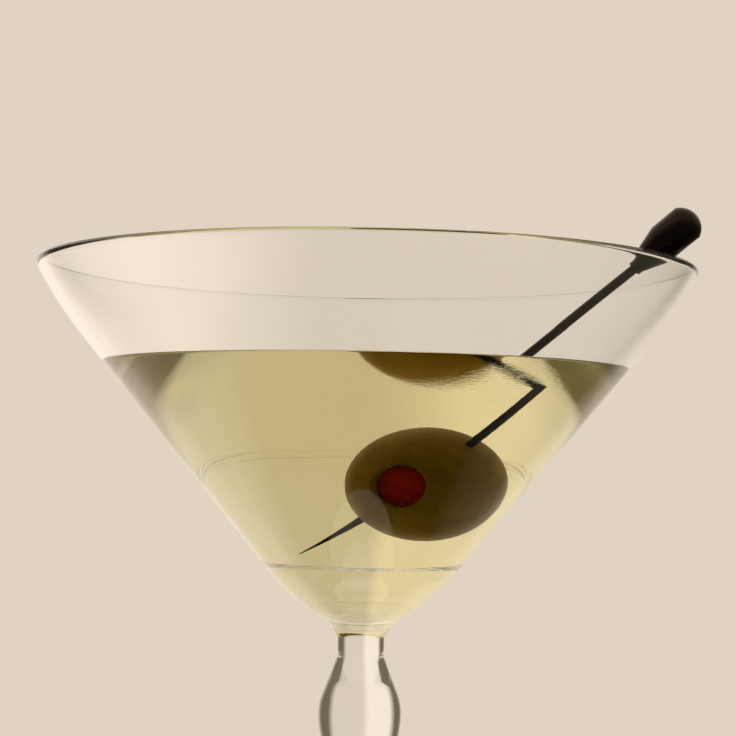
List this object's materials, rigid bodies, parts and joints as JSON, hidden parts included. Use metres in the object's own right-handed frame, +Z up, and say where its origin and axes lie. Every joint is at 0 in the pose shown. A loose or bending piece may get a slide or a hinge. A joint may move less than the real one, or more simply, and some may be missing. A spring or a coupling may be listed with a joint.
{
  "type": "martini cocktail",
  "caption": "Stemmed cone-bowl cocktail glass on a round foot, part filled with a pale straw drink, with a stuffed green olive on a metal pick that leans on the lip.",
  "frame": {"origin": "centre of the foot's flat underside, on the table", "axes": "+Z up along the axis of the glass, the pick leans towards +X and -Y, the olive's stuffed end faces -Y"},
  "size_m": [0.116, 0.116, 0.1798],
  "materials": {
    "clear_glass": "polished clear glass",
    "straw_drink": "clear pale straw liquid",
    "olive_skin": "waxy mottled green skin",
    "pimento_flesh": "wet red pepper",
    "dark_steel": "dark polished metal"
  },
  "bodies": {
    "root": {"glass": "clear_glass", "drink": "straw_drink", "olive": "olive_skin", "pimento": "pimento_flesh", "pick": "dark_steel", "pick_head": "dark_steel"}
  },
  "joints": []
}
